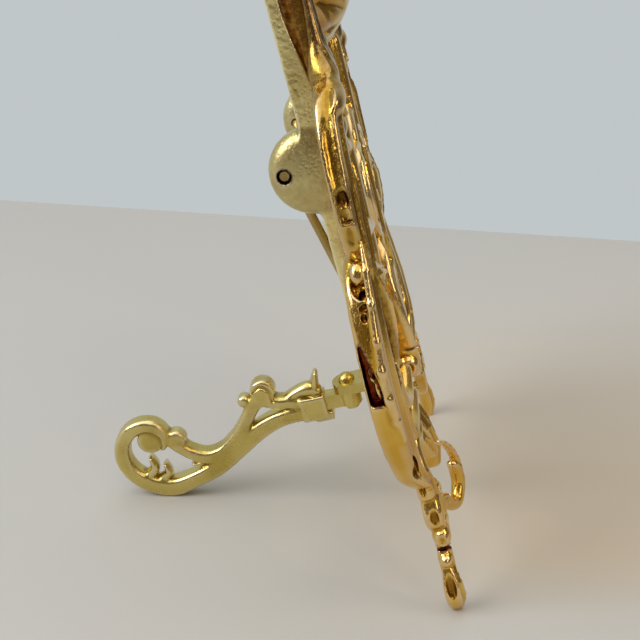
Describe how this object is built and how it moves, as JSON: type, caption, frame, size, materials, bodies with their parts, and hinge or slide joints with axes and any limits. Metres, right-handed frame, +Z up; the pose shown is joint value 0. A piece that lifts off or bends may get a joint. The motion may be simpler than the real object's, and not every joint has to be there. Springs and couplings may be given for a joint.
{
  "type": "book display stand",
  "caption": "Leaning cast brass easel for showing one open or closed book, with openwork scroll wings, two swinging book hooks, a wire bail and a hinged scroll leg behind.",
  "frame": {"origin": "middle of the stand's footprint, on the surface it stands on", "axes": "+Z up, -Y towards the reader in front of the stand, +X to the reader's right"},
  "size_m": [0.1554, 0.1213, 0.2806],
  "materials": {
    "polished_brass": "polished",
    "satin_brass": "satin"
  },
  "bodies": {
    "panel": {"left_wing": "polished_brass", "right_wing": "polished_brass", "crest": "polished_brass", "shell_boss": "polished_brass", "centre_scroll": "polished_brass", "pendant": "polished_brass", "left_stile": "satin_brass", "right_stile": "satin_brass", "upper_cross_bar": "satin_brass", "middle_cross_bar": "satin_brass", "leg_bracket": "satin_brass", "leg_rivet": "satin_brass", "left_hook_pin": "satin_brass", "right_hook_pin": "satin_brass", "wing_rivets": "satin_brass", "crest_rivets": "satin_brass", "centre_rivets": "satin_brass"},
    "rear_leg": {"leg_bar": "satin_brass", "leg_scroll": "satin_brass"},
    "left_book_hook": {"left_hook": "polished_brass"},
    "right_book_hook": {"right_hook": "polished_brass"},
    "bail": {"back_bail": "satin_brass"}
  },
  "joints": [
    {"name": "rear_leg_swing", "type": "hinge", "parent": "panel", "child": "rear_leg", "pos_m": [0, -0.02314, 0.04123], "axis": [0, 0.2504, 0.9681], "range_deg": [-85, 85]},
    {"name": "left_hook_swing", "type": "hinge", "parent": "panel", "child": "left_book_hook", "pos_m": [-0.0502, -0.04912, 0.03225], "axis": [0, -0.2504, -0.9681], "range_deg": [-26, 64]},
    {"name": "right_hook_swing", "type": "hinge", "parent": "panel", "child": "right_book_hook", "pos_m": [0.0502, -0.04912, 0.03225], "axis": [0, 0.2504, 0.9681], "range_deg": [0, 90]},
    {"name": "bail_swing", "type": "hinge", "parent": "panel", "child": "bail", "pos_m": [0, -0.00385, 0.129], "axis": [1, 0, 0], "range_deg": [0, 165]}
  ]
}
